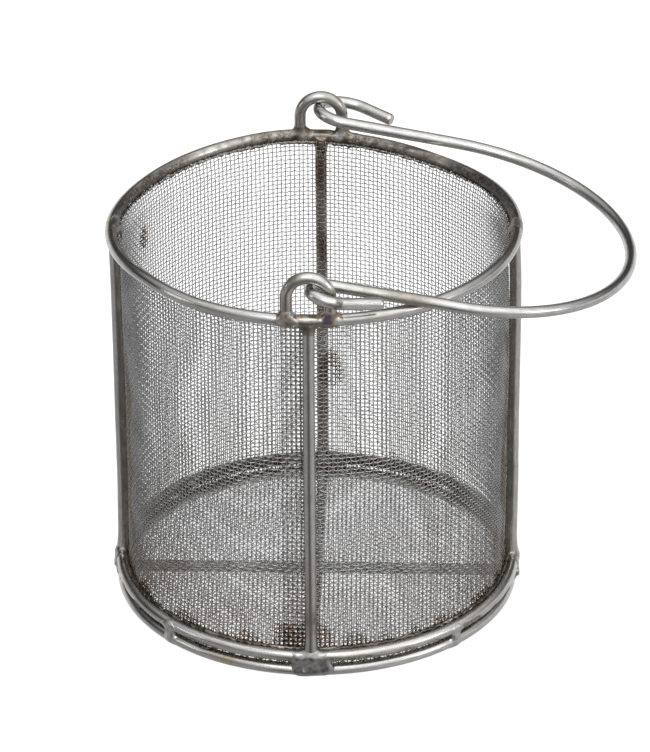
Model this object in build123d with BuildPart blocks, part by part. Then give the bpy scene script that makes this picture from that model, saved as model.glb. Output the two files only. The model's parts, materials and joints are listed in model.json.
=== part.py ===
"""Round stainless wire mesh basket with a swinging bail handle.

Frame: millimetres, +Z up. The origin is the centre of the circle that the foot ring stands on.
The basket's axis is Z. The two handle eyes are at -Y (front) and +Y (back), and the bail
lies over the +X side of the rim at rest.
"""
import os
from math import cos, radians, sin

from build123d import *

# ---- driving dimensions (mm) ------------------------------------------------------------------
ROD_RADIUS = 2.3  # every ring, rib, eye, bar and the bail is 4.6 mm rod
RIM_RADIUS = 76.8  # centre line of the top and lower rings
TOP_RING_Z = 153.6
LOWER_RING_Z = 8.2
FOOT_RING_RADIUS = 76.0  # the foot ring is a touch smaller and sits under the lower ring
RIB_RADIUS = 76.0  # the ribs stand outside the mesh, between the rings

MESH_THICKNESS = 0.8  # two crossing 0.4 mm wires
SHEET_GAP = 0.05  # the edge of the wall sheet ends this far above the bottom sheet
WALL_RADIUS = 73.5  # outer face of the mesh wall between the rings
WALL_EDGE_RADIUS = 74.4  # outer face where the wall is pressed against each ring
WALL_BELL = 8.0  # height over which the wall spreads out to each ring
WALL_TOP_Z = 154.0
BOTTOM_MESH_Z = 4.65  # underside of the bottom mesh, just above the foot ring and its bars
BOTTOM_MESH_RADIUS = 76.8  # its edge is sandwiched between the two lower rings
LAP_START = 261.2  # degrees from +X: where the overlapping end of the wall sheet begins
LAP_ANGLE = 8.2

EYE_Y = RIM_RADIUS
EYE_BEND_RADIUS = 8.2
EYE_BEND_Z = 162.6
EYE_FOOT_Z = 154.2

PIVOT_Z = 165.7  # hinge axis of the bail, high inside the eyes
BAIL_TILT = 10.9  # degrees below level, where the arms rest over the top ring
BAIL_HALF_WIDTH = 67.8  # the arms pass just inside the rim
BAIL_BOW_U = 54.7  # distance from the hinge axis to the centre of the half-round bow
HOOK_RADIUS = 9.0
HOOK_BEND_U = 0.2  # the rod inside the eye runs this far in front of the hinge axis
HOOK_EXTRA_TURN = 21.6  # degrees past a half turn, so that the free end closes towards the arm
HOOK_FREE_LENGTH = 15.2
END_CHAMFER = 0.3

COPE_DEPTH = 1.3  # a coped rod end stops this far short of the ring's centre line
BEAD_RADIUS = 0.9  # continuous bead that joins the mesh wall to a ring
BEAD_CENTRE_RADIUS = 74.85
FOOT_WELD_HALF_ANGLE = 6.0  # degrees round the basket
FOOT_WELD_RADIUS = 2.7
BRIDGE_WELD_HALF_ANGLE = 2.4
BRIDGE_WELD_RADIUS = 2.4
RIB_WELD_RADIUS = 77.1  # welds at the rib ends sit a little outside the ribs, clear of the mesh
RIB_TOP_WELD_RADIUS = 2.5
RIB_TOP_WELD_DROP = 2.6  # its centre lies this far below the centre of the top ring
COLLAR_RADIUS = 3.1  # widest radius of the weld collar at the foot of a rod
COLLAR_HEIGHT = 3.4
COLLAR_RISE = 0.3  # the collars of the eyes start this far above the foot of the leg
BAR_WELD_RADIUS = 3.9
BAR_WELD_HEIGHT = 2.4

# ---- worked out from them ---------------------------------------------------------------------
BOTTOM_MESH_TOP = BOTTOM_MESH_Z + MESH_THICKNESS
WALL_BOTTOM_Z = BOTTOM_MESH_TOP + SHEET_GAP
FOOT_WELD_Z = (LOWER_RING_Z + ROD_RADIUS) / 2
BAR_REACH = FOOT_RING_RADIUS - COPE_DEPTH
RIB_TURNS = {"front": -90, "right": 0, "back": 90, "left": 180}

os.makedirs("parts", exist_ok=True)
finished = {}


def keep(builder, name):
    """Label a finished piece and write it as its own STEP file."""
    builder.part.label = name
    export_step(builder.part, f"parts/{name}.step")
    finished[name] = builder


def carve(*names):
    """Cut pieces that are already finished out of the one being built, so that faces meet."""
    for name in names:
        add(finished[name].part, mode=Mode.SUBTRACT)


def upright_plane(turn):
    """The vertical half plane at an angle from +X: local x is the radius, local y is Z."""
    angle = radians(turn)
    return Plane(origin=(0, 0, 0), x_dir=(cos(angle), sin(angle), 0), z_dir=(sin(angle), -cos(angle), 0))


def level_plane(radius, turn, height):
    """A level plane on the basket: local x points outwards, local y runs round the basket."""
    angle = radians(turn)
    centre = (radius * cos(angle), radius * sin(angle), height)
    return Plane(origin=centre, x_dir=(cos(angle), sin(angle), 0), z_dir=(0, 0, 1))


def make_ring(name, radius, height):
    """A ring of round rod, closed by a butt weld that is ground flush."""
    with BuildPart() as ring:
        with BuildSketch(Plane.XZ):
            with Locations((radius, height)):
                Circle(ROD_RADIUS)
        revolve(axis=Axis.Z)
    keep(ring, name)


def wall_points(inset):
    """Section of the wall sheet in the X-Z plane: outer face upwards, then inner face down."""
    bell_low = LOWER_RING_Z + WALL_BELL
    bell_high = TOP_RING_Z - WALL_BELL
    outer = [
        (WALL_EDGE_RADIUS, WALL_BOTTOM_Z),
        (WALL_EDGE_RADIUS, LOWER_RING_Z),
        (WALL_RADIUS, bell_low),
        (WALL_RADIUS, bell_high),
        (WALL_EDGE_RADIUS, TOP_RING_Z),
        (WALL_EDGE_RADIUS, WALL_TOP_Z),
    ]
    near = [(x - inset, z) for x, z in outer]
    far = [(x - inset - MESH_THICKNESS, z) for x, z in reversed(outer)]
    return near + far


def weld_lump(turn, half_angle, radius):
    """A lump of weld in the outer groove between the lower ring and the foot ring."""
    with BuildSketch(upright_plane(turn - half_angle)) as section:
        with Locations((BOTTOM_MESH_RADIUS, FOOT_WELD_Z)):
            Circle(radius)
            Rectangle(radius, 2 * radius, align=(Align.MAX, Align.CENTER), mode=Mode.SUBTRACT)
        with Locations((RIM_RADIUS, LOWER_RING_Z), (FOOT_RING_RADIUS, ROD_RADIUS)):
            Circle(ROD_RADIUS, mode=Mode.SUBTRACT)
    revolve(section.sketch, axis=Axis.Z, revolution_arc=2 * half_angle)


def weld_collar(plane):
    """A collar of weld round the foot of an upright rod that stands on a level plane."""
    with Locations(plane):
        Cone(COLLAR_RADIUS, ROD_RADIUS, COLLAR_HEIGHT, align=(Align.CENTER, Align.CENTER, Align.MIN))


# ---- rings ------------------------------------------------------------------------------------
make_ring("top_ring", RIM_RADIUS, TOP_RING_Z)
make_ring("lower_ring", RIM_RADIUS, LOWER_RING_Z)
make_ring("foot_ring", FOOT_RING_RADIUS, ROD_RADIUS)

# ---- mesh wall: one rolled sheet whose ends overlap in a strip on the inside ---------------------
with BuildPart() as mesh_wall:
    with BuildSketch(Plane.XZ):
        with BuildLine():
            Polyline(*wall_points(inset=0), close=True)
        make_face()
    revolve(axis=Axis.Z)
    with BuildSketch(upright_plane(LAP_START)):
        with BuildLine():
            Polyline(*wall_points(inset=MESH_THICKNESS), close=True)
        make_face()
    revolve(axis=Axis.Z, revolution_arc=LAP_ANGLE)
keep(mesh_wall, "mesh_wall")

# ---- bottom mesh: a flat disc whose edge is held between the two lower rings ---------------------
with BuildPart() as mesh_bottom:
    with BuildSketch(Plane.XY.offset(BOTTOM_MESH_Z)):
        Circle(BOTTOM_MESH_RADIUS)
    extrude(amount=MESH_THICKNESS)
keep(mesh_bottom, "mesh_bottom")

# ---- ribs: upright rods between the lower ring and the top ring ----------------------------------
for rib_name, turn in RIB_TURNS.items():
    with BuildPart() as rib:
        with BuildSketch(level_plane(RIB_RADIUS, turn, LOWER_RING_Z + COPE_DEPTH)):
            Circle(ROD_RADIUS)
        extrude(amount=TOP_RING_Z - LOWER_RING_Z - 2 * COPE_DEPTH)
        carve("top_ring", "lower_ring", "mesh_wall")
    keep(rib, f"rib_{rib_name}")

# ---- bars under the bottom mesh: one long bar and two half bars butted against it ----------------
with BuildPart() as bottom_bar_long:
    with BuildSketch(Plane.YZ):
        with Locations((0, ROD_RADIUS)):
            Circle(ROD_RADIUS)
    extrude(amount=BAR_REACH, both=True)
    carve("foot_ring")
keep(bottom_bar_long, "bottom_bar_long")

for bar_name, direction in (("front", 1), ("back", -1)):
    with BuildPart() as half_bar:
        with BuildSketch(Plane.XZ):
            with Locations((0, ROD_RADIUS)):
                Circle(ROD_RADIUS)
        extrude(amount=direction * BAR_REACH)
        carve("foot_ring", "bottom_bar_long")
    keep(half_bar, f"bottom_bar_{bar_name}")

# ---- handle eyes: inverted U of rod, standing on the top ring ------------------------------------
for eye_name, offset_y in (("front", EYE_Y), ("back", -EYE_Y)):
    with BuildPart() as eye:
        with BuildLine(Plane.XZ.offset(offset_y)) as eye_path:
            leg_up = Line((-EYE_BEND_RADIUS, EYE_FOOT_Z), (-EYE_BEND_RADIUS, EYE_BEND_Z))
            arch = CenterArc((0, EYE_BEND_Z), EYE_BEND_RADIUS, 180, -180)
            Line(arch @ 1, (EYE_BEND_RADIUS, EYE_FOOT_Z))
        with BuildSketch(Plane(origin=leg_up @ 0, z_dir=leg_up % 0)):
            Circle(ROD_RADIUS)
        sweep(path=eye_path.wire())
        carve("top_ring")
    keep(eye, f"eye_{eye_name}")

# ---- bail: one bent rod, hooked through both eyes, lying over the rim ----------------------------
tilt = radians(BAIL_TILT)
bail_plane = Plane(
    origin=(0, 0, PIVOT_Z),
    x_dir=(cos(tilt), 0, -sin(tilt)),
    z_dir=(sin(tilt), 0, cos(tilt)),
)
hook_u = HOOK_BEND_U + HOOK_RADIUS
hook_v = BAIL_HALF_WIDTH + HOOK_RADIUS
hook_turn = 180 + HOOK_EXTRA_TURN
with BuildPart() as bail_handle:
    with BuildLine(bail_plane) as bail_path:
        front_hook = CenterArc((hook_u, -hook_v), HOOK_RADIUS, 90, hook_turn)
        Line(front_hook @ 1, front_hook @ 1 + HOOK_FREE_LENGTH * (front_hook % 1))
        Line((hook_u, -BAIL_HALF_WIDTH), (BAIL_BOW_U, -BAIL_HALF_WIDTH))
        CenterArc((BAIL_BOW_U, 0), BAIL_HALF_WIDTH, -90, 180)
        Line((BAIL_BOW_U, BAIL_HALF_WIDTH), (hook_u, BAIL_HALF_WIDTH))
        back_hook = CenterArc((hook_u, hook_v), HOOK_RADIUS, -90, -hook_turn)
        Line(back_hook @ 1, back_hook @ 1 + HOOK_FREE_LENGTH * (back_hook % 1))
    bail_wire = bail_path.wire()
    with BuildSketch(Plane(origin=bail_wire @ 0, z_dir=bail_wire % 0)):
        Circle(ROD_RADIUS)
    sweep(path=bail_wire)
    chamfer(bail_handle.faces().filter_by(GeomType.PLANE).edges(), length=END_CHAMFER)
keep(bail_handle, "bail_handle")

# ---- welds ------------------------------------------------------------------------------------
RIBS = [f"rib_{rib_name}" for rib_name in RIB_TURNS]

# A lump at the foot of each rib joins the rib, the lower ring and the foot ring.
with BuildPart() as rib_foot_welds:
    for turn in RIB_TURNS.values():
        weld_lump(turn, FOOT_WELD_HALF_ANGLE, FOOT_WELD_RADIUS)
        weld_collar(level_plane(RIB_WELD_RADIUS, turn, LOWER_RING_Z + COPE_DEPTH))
    carve("lower_ring", "mesh_wall", *RIBS)
keep(rib_foot_welds, "rib_foot_welds")

# Halfway between the ribs a small lump bridges the lower ring and the foot ring.
with BuildPart() as ring_bridge_welds:
    for turn in RIB_TURNS.values():
        weld_lump(turn + 45, BRIDGE_WELD_HALF_ANGLE, BRIDGE_WELD_RADIUS)
keep(ring_bridge_welds, "ring_bridge_welds")

# A bead under the top ring holds the head of each rib.
with BuildPart() as rib_top_welds:
    for turn in RIB_TURNS.values():
        with Locations(level_plane(RIB_WELD_RADIUS, turn, TOP_RING_Z - RIB_TOP_WELD_DROP)):
            Sphere(RIB_TOP_WELD_RADIUS)
    carve("top_ring", "mesh_wall", *RIBS)
keep(rib_top_welds, "rib_top_welds")

# A collar at each foot of the two eyes joins them to the top ring.
with BuildPart() as eye_welds:
    for x in (-EYE_BEND_RADIUS, EYE_BEND_RADIUS):
        for y in (-EYE_Y, EYE_Y):
            weld_collar(Plane.XY.offset(EYE_FOOT_Z + COLLAR_RISE).move(Location((x, y, 0))))
    carve("top_ring", "eye_front", "eye_back")
keep(eye_welds, "eye_welds")

# Fillets of weld hold the bars to the foot ring and to each other.
with BuildPart() as bar_welds:
    with Locations(Plane.XY.offset(ROD_RADIUS)):
        Cylinder(BAR_WELD_RADIUS, BAR_WELD_HEIGHT)
        with PolarLocations(FOOT_RING_RADIUS - ROD_RADIUS, 4):
            Cylinder(BAR_WELD_RADIUS, BAR_WELD_HEIGHT)
    carve("foot_ring", "bottom_bar_long", "bottom_bar_front", "bottom_bar_back")
keep(bar_welds, "bar_welds")

# A thin bead all the way round joins the mesh wall to the top ring and to the lower ring.
for ring_name, ring_z, bead_z in (
    ("top", TOP_RING_Z, TOP_RING_Z - ROD_RADIUS),
    ("lower", LOWER_RING_Z, LOWER_RING_Z + ROD_RADIUS),
):
    with BuildPart() as mesh_weld:
        with BuildSketch(Plane.XZ):
            with Locations((BEAD_CENTRE_RADIUS, bead_z)):
                Circle(BEAD_RADIUS)
            with Locations((RIM_RADIUS, ring_z)):
                Circle(ROD_RADIUS, mode=Mode.SUBTRACT)
            with BuildLine():
                Polyline(*wall_points(inset=0), close=True)
            make_face(mode=Mode.SUBTRACT)
        revolve(axis=Axis.Z)
        carve(*RIBS, "rib_top_welds", "rib_foot_welds")
    keep(mesh_weld, f"{ring_name}_mesh_weld")
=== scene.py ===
"""Woven wire basket with a swinging bail handle: the visual model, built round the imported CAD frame.

Shapes are worked out in millimetres, as in the CAD, and turned into metres when a mesh is made.
"""
import json
from math import cos, pi, radians, sin

import bpy
import numpy as np
from mathutils import Matrix, Vector


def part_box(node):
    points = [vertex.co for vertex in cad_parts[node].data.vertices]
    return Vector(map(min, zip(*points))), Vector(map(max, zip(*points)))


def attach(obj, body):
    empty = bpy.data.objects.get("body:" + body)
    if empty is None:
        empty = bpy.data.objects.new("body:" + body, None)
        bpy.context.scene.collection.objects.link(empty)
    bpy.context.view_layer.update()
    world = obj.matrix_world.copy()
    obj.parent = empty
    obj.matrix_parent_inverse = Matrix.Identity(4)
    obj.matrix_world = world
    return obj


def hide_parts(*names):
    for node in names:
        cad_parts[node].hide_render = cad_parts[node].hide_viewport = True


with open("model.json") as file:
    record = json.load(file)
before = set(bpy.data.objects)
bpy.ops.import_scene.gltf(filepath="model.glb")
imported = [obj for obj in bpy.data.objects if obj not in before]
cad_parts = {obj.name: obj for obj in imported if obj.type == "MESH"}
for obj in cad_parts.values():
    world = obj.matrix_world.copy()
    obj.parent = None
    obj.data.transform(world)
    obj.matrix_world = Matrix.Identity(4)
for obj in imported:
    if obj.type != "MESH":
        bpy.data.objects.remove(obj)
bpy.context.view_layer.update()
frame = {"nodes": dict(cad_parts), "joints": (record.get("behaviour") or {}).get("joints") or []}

METRES = 0.001
TURN = 2 * pi


# ---- sizes taken from the frame (mm) ----
def box_mm(node):
    """Lowest and highest corner of a CAD node, in millimetres, to a tenth."""
    low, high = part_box(node)
    return np.round(np.array(low) * 1000, 1), np.round(np.array(high) * 1000, 1)


def ring_size(node):
    """Centre-line radius and height of one of the rings."""
    low, high = box_mm(node)
    return (high[0] - low[0]) / 2 - ROD, (low[2] + high[2]) / 2


foot_low, foot_high = box_mm("foot_ring")
ROD = (foot_high[2] - foot_low[2]) / 2
RIM_RADIUS, TOP_Z = ring_size("top_ring")
LOWER_RADIUS, LOWER_Z = ring_size("lower_ring")
LOWER_Z += 0.6  # the made ring sits a little higher over the foot ring than the drawn one
FOOT_RADIUS, FOOT_Z = ring_size("foot_ring")
RIB_RADIUS = box_mm("rib_right")[1][0] - ROD
RIB_BOTTOM, RIB_TOP = box_mm("rib_right")[0][2], box_mm("rib_right")[1][2]
CLOTH_TOP = box_mm("mesh_wall")[1][2]
CLOTH_BOTTOM = box_mm("mesh_wall")[0][2]
DISC_Z = (box_mm("mesh_bottom")[0][2] + box_mm("mesh_bottom")[1][2]) / 2
EYE_REACH = box_mm("eye_front")[1][0] - ROD
EYE_ARCH_Z = box_mm("eye_front")[1][2] - ROD - EYE_REACH
PIVOT_Z = frame["joints"][0]["pos_m"][2] * 1000

# ---- the wire cloth ----
WIRE = 0.2  # radius of one wire of the wall
BOTTOM_WIRE = 0.235  # and of the bottom
WIRE_SIDES = 5
CRUST = 0.55  # how much thicker the sootiest wire is
CLOTH_RADIUS = 73.1  # middle of the cloth between the rings
CLOTH_EDGE_RADIUS = 74.0  # where it is pressed against a ring
CLOTH_BELL = 8.0  # height over which it spreads to the ring
UPRIGHT_WIRES = 264
PITCH = TURN * CLOTH_RADIUS / UPRIGHT_WIRES
UPRIGHT_CRIMP, HOOP_CRIMP = 0.12, 0.28  # how far each goes out of the middle of the cloth
UPRIGHT_DRIFT, HOOP_DRIFT = 0.04, 0.035  # how unevenly they are spaced: in pitches, in mm
FIRST_HOOP = 0.4  # height of the lowest hoop over the cloth's edge
LAP_FROM, LAP_TO = radians(261.2), radians(269.4)  # where the ends of the sheet overlap
LAP_INSET = 0.85  # how far inside the outer end the inner one lies
BOTTOM_OVERHANG = 0.9  # how far the bottom cloth goes past the foot ring's centre line

# ---- the bail, bent by hand: its two hooks differ a little ----
BAIL_TILT = radians(10.9)  # how far it hangs below level at rest
BAIL_HALF_WIDTH = 67.8
BAIL_BOW_U = 54.7  # where the round bow starts, from the pivot
# For each hook: centre (u, |v|), half length, half width, slope of the free end, its length, lift.
HOOKS = {
    "front": (9.8, 75.9, 9.2, 6.6, radians(23.0), 14.3, 0.25),
    "back": (10.4, 76.6, 11.3, 9.1, radians(31.5), 12.6, 0.1),
}

RIB_ANGLES = {"front": -pi / 2, "right": 0.0, "back": pi / 2, "left": pi}


# ---- small maths ----
def polar(radius, angle, height):
    """Points (..., 3) from cylindrical coordinates; the arguments broadcast."""
    radius, angle, height = np.broadcast_arrays(radius, angle, height)
    return np.stack([radius * np.cos(angle), radius * np.sin(angle), height], axis=-1)


def smooth_step(low, high, value):
    """0 below low, 1 above high, smooth between."""
    t = np.clip((np.asarray(value, float) - low) / (high - low), 0, 1)
    return t * t * (3 - 2 * t)


def wander(angle, seed, waves=(2, 3, 5, 7, 11)):
    """A smooth periodic function of an angle, about -1 to 1, the same on every run."""
    rng = np.random.default_rng(seed)
    total = sum(rng.normal() / n**0.5 * np.sin(n * angle + rng.uniform(0, TURN)) for n in waves)
    return total * 0.6


def lumps(points, size, seed, waves=14):
    """Smooth noise in space, about -1 to 1, with lumps of about the given size."""
    rng = np.random.default_rng(seed)
    directions = rng.normal(size=(waves, 3))
    directions /= np.linalg.norm(directions, axis=1, keepdims=True)
    rates = directions * (pi / size) * rng.uniform(0.6, 1.5, size=(waves, 1))
    phases = rng.uniform(0, TURN, size=waves)
    total = np.zeros(points.shape[:-1])
    for rate, phase in zip(rates, phases):
        total += np.sin(points @ rate + phase)
    return total * (1.5 / waves**0.5) * 0.7


def bump(angle, centre, width):
    """A smooth rise of height 1 round one angle (degrees)."""
    away = np.angle(np.exp(1j * (np.asarray(angle) - radians(centre))))
    return np.exp(-((away / radians(width)) ** 2))


def rim_sag(angle):
    """How far the top ring leaves its plane: two dips, right and left of the back, and two rises."""
    dips = -2.4 * bump(angle, 50, 28) - 2.0 * bump(angle, 160, 30)
    return dips + 0.9 * bump(angle, 100, 16) + 0.9 * bump(angle, 217, 16)


def rim_swell(angle):
    """How far the top ring is from a true circle: it bulges on the left."""
    return 0.8 * bump(angle, 183, 35)


# ---- meshes ----
def tubes(paths, radius, sides, reference, closed=False):
    """Round tubes along paths (tubes, points, 3).

    radius broadcasts to (tubes, points, sides); reference is a direction across each path.
    Returns points, quads and end caps, and the "along" vectors: length run, then place in the section.
    """
    count, steps = paths.shape[:2]
    if closed:
        ahead, behind = np.roll(paths, -1, axis=1), np.roll(paths, 1, axis=1)
        tangent = ahead - behind
    else:
        tangent = np.gradient(paths, axis=1)
    tangent /= np.linalg.norm(tangent, axis=-1, keepdims=True)
    across = np.broadcast_to(reference, paths.shape)
    across = across - (across * tangent).sum(-1, keepdims=True) * tangent
    across = across / np.linalg.norm(across, axis=-1, keepdims=True)
    other = np.cross(tangent, across)
    turn = np.arange(sides) * TURN / sides
    ring = across[:, :, None] * np.cos(turn)[:, None] + other[:, :, None] * np.sin(turn)[:, None]
    radius = np.broadcast_to(np.asarray(radius, float), (count, steps, sides))
    points = paths[:, :, None] + ring * radius[..., None]

    run = np.linalg.norm(np.diff(paths, axis=1, prepend=paths[:, :1]), axis=-1).cumsum(axis=1)
    along = np.empty((count, steps, sides, 3))
    along[..., 0] = run[:, :, None] + 37.0 * np.arange(count)[:, None, None]
    along[..., 1] = np.cos(turn)
    along[..., 2] = np.sin(turn)

    index = np.arange(count * steps * sides).reshape(count, steps, sides)
    here = index if closed else index[:, :-1]
    there = np.roll(index, -1, axis=1) if closed else index[:, 1:]
    quads = np.stack([here, np.roll(here, -1, axis=2), np.roll(there, -1, axis=2), there], axis=-1)
    caps = np.empty((0, sides), int)
    if not closed:
        caps = np.concatenate([index[:, 0, ::-1], index[:, -1]])
    return points.reshape(-1, 3), [quads.reshape(-1, 4), caps], along.reshape(-1, 3)


def joined(parts):
    """Several (points, faces, along) sets as one."""
    offset, points, quads, caps, along = 0, [], [], [], []
    for part_points, (part_quads, part_caps), part_along in parts:
        points.append(part_points)
        along.append(part_along)
        quads.append(part_quads + offset)
        caps.append(part_caps + offset)
        offset += len(part_points)
    return np.concatenate(points), [np.concatenate(quads), np.concatenate(caps)], np.concatenate(along)


def make_piece(name, shape, body, material, replaces, soot_and_shade=0.0, heat=1.0):
    """A Blender object from (points, faces, along), riding on a body and standing for CAD nodes.

    The darkening (0 to about 1) is soot in some places and painted shade in others; heat is how much the
    heat of the welds marks it.
    """
    points, faces, along = shape
    faces = [f for f in faces if len(f)]
    mesh = bpy.data.meshes.new(name)
    mesh.vertices.add(len(points))
    mesh.vertices.foreach_set("co", (points * METRES).astype(np.float32).ravel())
    corners = np.concatenate([f.ravel() for f in faces]).astype(np.int32)
    sizes = np.concatenate([np.full(len(f), f.shape[1]) for f in faces]).astype(np.int32)
    mesh.loops.add(len(corners))
    mesh.loops.foreach_set("vertex_index", corners)
    mesh.polygons.add(len(sizes))
    mesh.polygons.foreach_set("loop_start", (np.cumsum(sizes) - sizes).astype(np.int32))
    mesh.polygons.foreach_set("use_smooth", sizes == 4)
    mesh.update(calc_edges=True)
    for layer_name, vectors in (("along", along[:, :3]), ("drawn_way", along[:, -3:])):
        layer = mesh.attributes.new(layer_name, "FLOAT_VECTOR", "POINT")
        layer.data.foreach_set("vector", vectors.astype(np.float32).ravel())
    levels = (("scorch", heat * heat_at(points)), ("soot_and_shade", np.broadcast_to(soot_and_shade, len(points))))
    for layer_name, values in levels:
        layer = mesh.attributes.new(layer_name, "FLOAT", "POINT")
        layer.data.foreach_set("value", values.astype(np.float32))
    mesh.materials.append(material)
    piece = bpy.data.objects.new(name, mesh)
    bpy.context.scene.collection.objects.link(piece)
    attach(piece, body)
    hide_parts(*replaces)


# ---- heat marks, soot and painted shade ----
# Centre, reach in mm and strength of the heat of every weld: one on the foot ring, the rib feet,
# rib heads and bridges, then the eyes, whose front feet are the brightest.
WELD_MARKS = [(polar(FOOT_RADIUS, radians(246), FOOT_Z + 1), 7.0, 0.24)]
for rib_angle in RIB_ANGLES.values():
    WELD_MARKS.append((polar(RIM_RADIUS, rib_angle, 5.5), 8.5, 0.22))
    WELD_MARKS.append((polar(RIB_RADIUS, rib_angle, RIB_TOP), 5.0, 0.3))
    WELD_MARKS.append((polar(RIM_RADIUS, rib_angle + pi / 4, 5.3), 4.5, 0.14))
for foot_x, strength in ((-EYE_REACH, 0.36), (-2.0, 0.3), (3.0, 0.34), (EYE_REACH - 1.0, 0.66)):
    WELD_MARKS.append((np.array([foot_x, -RIM_RADIUS - 1.0, TOP_Z + 1.5]), 3.9, strength))
    WELD_MARKS.append((np.array([foot_x, RIM_RADIUS, TOP_Z + 1.5]), 5.0, 0.24))


def heat_at(points):
    """0 on clean steel to about 1 on a weld, with ragged edges."""
    ragged = 1 + 0.3 * lumps(points, 4.0, 5)
    value = np.zeros(len(points))
    for centre, reach, strength in WELD_MARKS:
        distance = np.linalg.norm(points - centre, axis=1)
        value = np.maximum(value, strength * np.exp(-((distance / (reach * ragged)) ** 2)))
    return value


def shade_and_soot_on_side(points, normals, side, low, high, patchy=0.3):
    """Brown darkening on the part of a surface that faces a direction: soot in some places, painted shade
    in others.
    """
    facing = (normals * side).sum(axis=-1)
    return smooth_step(low, high, facing + patchy * lumps(points, 6.0, 9))


def cloth_soot_and_shade(points):
    """Soot on the wall cloth: beside both rings, round the rib ends and in a few patches; painted shade
    with it just above the lower ring.
    """
    above = points[:, 2] - (LOWER_Z + ROD)
    below = (TOP_Z - ROD) - points[:, 2]
    patch = lumps(points, 7.0, 12)
    # Just above the lower ring, where the cloth meets it: brown soot with painted shade.
    low_band = smooth_step(4.5, 0.0, above + 3.0 * patch)
    top_band = smooth_step(2.5, -1.0, below + 1.5 * patch)
    value = np.maximum(0.8 * low_band, 0.35 * top_band)
    value = np.maximum(value, 0.38 * smooth_step(46.0, 0.0, above + 8.0 * patch))
    beside = np.minimum(np.abs(points[:, 0]), np.abs(points[:, 1]))
    line = np.where(np.abs(points[:, 0]) < 20, 0.42, 0.26) + 0.25 * patch
    value = np.maximum(value, line * smooth_step(4.2, 2.4, beside + 0.6 * patch))
    for centre, reach, strength in STAINS:
        distance = np.linalg.norm((points - centre) / reach, axis=1)
        value = np.maximum(value, strength * smooth_step(1.3, 0.6, distance + 0.3 * patch))
    return value


# Centre, reach along x, y and z, and strength of brown stains on the cloth.
STAINS = [
    ((3.0, 73.0, 51.0), (5.5, 3.0, 7.0), 0.95),
    ((7.5, -72.8, 135.0), (3.5, 3.0, 5.0), 0.5),
    ((-7.0, -72.8, 13.0), (6.0, 3.0, 9.0), 1.05),
    ((5.5, -73.0, 13.0), (5.5, 3.0, 8.5), 0.95),
    ((18.0, -71.0, 10.0), (15.0, 5.0, 5.5), 0.85),
    ((-21.0, -70.5, 10.0), (13.0, 5.0, 5.5), 0.85),
    ((-42.0, -60.0, 12.0), (7.0, 7.0, 3.5), 0.75),
    ((-67.0, 29.0, 132.0), (3.5, 3.5, 6.5), 0.7),
    ((72.0, -10.0, 60.0), (3.0, 6.0, 60.0), 0.5),
    ((-72.0, -12.0, 60.0), (3.5, 10.0, 60.0), 0.42),
    ((28.0, -67.0, 22.0), (26.0, 12.0, 20.0), 0.3),
]


# ---- materials ----
class Nodes:
    """A short way to write a node tree."""

    def __init__(self, owner):
        owner.use_nodes = True
        self.owner, self.tree = owner, owner.node_tree
        self.tree.nodes.clear()

    def add(self, kind, inputs=None, **settings):
        """A node with its inputs set to values or linked from sockets."""
        node = self.tree.nodes.new(kind)
        for key, value in settings.items():
            setattr(node, key, value)
        for key, value in (inputs or {}).items():
            if isinstance(value, bpy.types.NodeSocket):
                self.tree.links.new(value, node.inputs[key])
            else:
                node.inputs[key].default_value = value
        return node

    def ramp(self, factor, stops):
        """A colour ramp; stops are (place, colour or grey level)."""
        node = self.add("ShaderNodeValToRGB", {"Fac": factor})
        elements = node.color_ramp.elements
        for place, _ in stops[1:-1]:
            elements.new(place)
        for element, (place, colour) in zip(elements, stops):
            element.position = place
            grey = isinstance(colour, (int, float))
            element.color = (colour, colour, colour, 1) if grey else (*colour, 1)
        return node.outputs["Color"]

    def place(self):
        """Coordinates on the object."""
        return self.add("ShaderNodeTexCoord").outputs["Object"]

    def attribute(self, name, output="Fac"):
        """A value that every vertex carries."""
        return self.add("ShaderNodeAttribute", attribute_name=name).outputs[output]

    def noise(self, vector, scale, detail=3.0, roughness=0.55):
        """Cloudy noise, about 0.5."""
        node = self.add(
            "ShaderNodeTexNoise",
            {"Vector": vector, "Scale": scale, "Detail": detail, "Roughness": roughness},
        )
        return node.outputs["Fac"]

    def mix(self, factor, a, b):
        """Colour a, or colour b where the factor is 1."""
        node = self.add("ShaderNodeMix", data_type="RGBA")
        for socket, value in ((node.inputs[0], factor), (node.inputs[6], a), (node.inputs[7], b)):
            if isinstance(value, bpy.types.NodeSocket):
                self.tree.links.new(value, socket)
            else:
                socket.default_value = value if isinstance(value, float) else (*value, 1)
        return node.outputs[2]

    def maths(self, operation, a, b):
        """One sum on two numbers or sockets."""
        return self.add("ShaderNodeMath", {0: a, 1: b}, operation=operation).outputs[0]

    def scattered(self, value, noise, limit):
        """A value moved by noise about 0, by more where it is higher, up to a limit."""
        return self.maths("ADD", value, self.maths("MULTIPLY", noise, self.maths("MINIMUM", value, limit)))

    def metal(self, colour, roughness, bump, bump_depth, **more):
        """Finishes the tree with a metal surface."""
        lifted = self.add("ShaderNodeBump", {"Height": bump, "Distance": bump_depth, "Strength": 1.0})
        surface = {"Base Color": colour, "Roughness": roughness, "Metallic": 1.0}
        shader = self.add("ShaderNodeBsdfPrincipled", surface | {"Normal": lifted.outputs[0]} | more)
        self.add("ShaderNodeOutputMaterial", {"Surface": shader.outputs[0]})
        return self.owner
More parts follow.
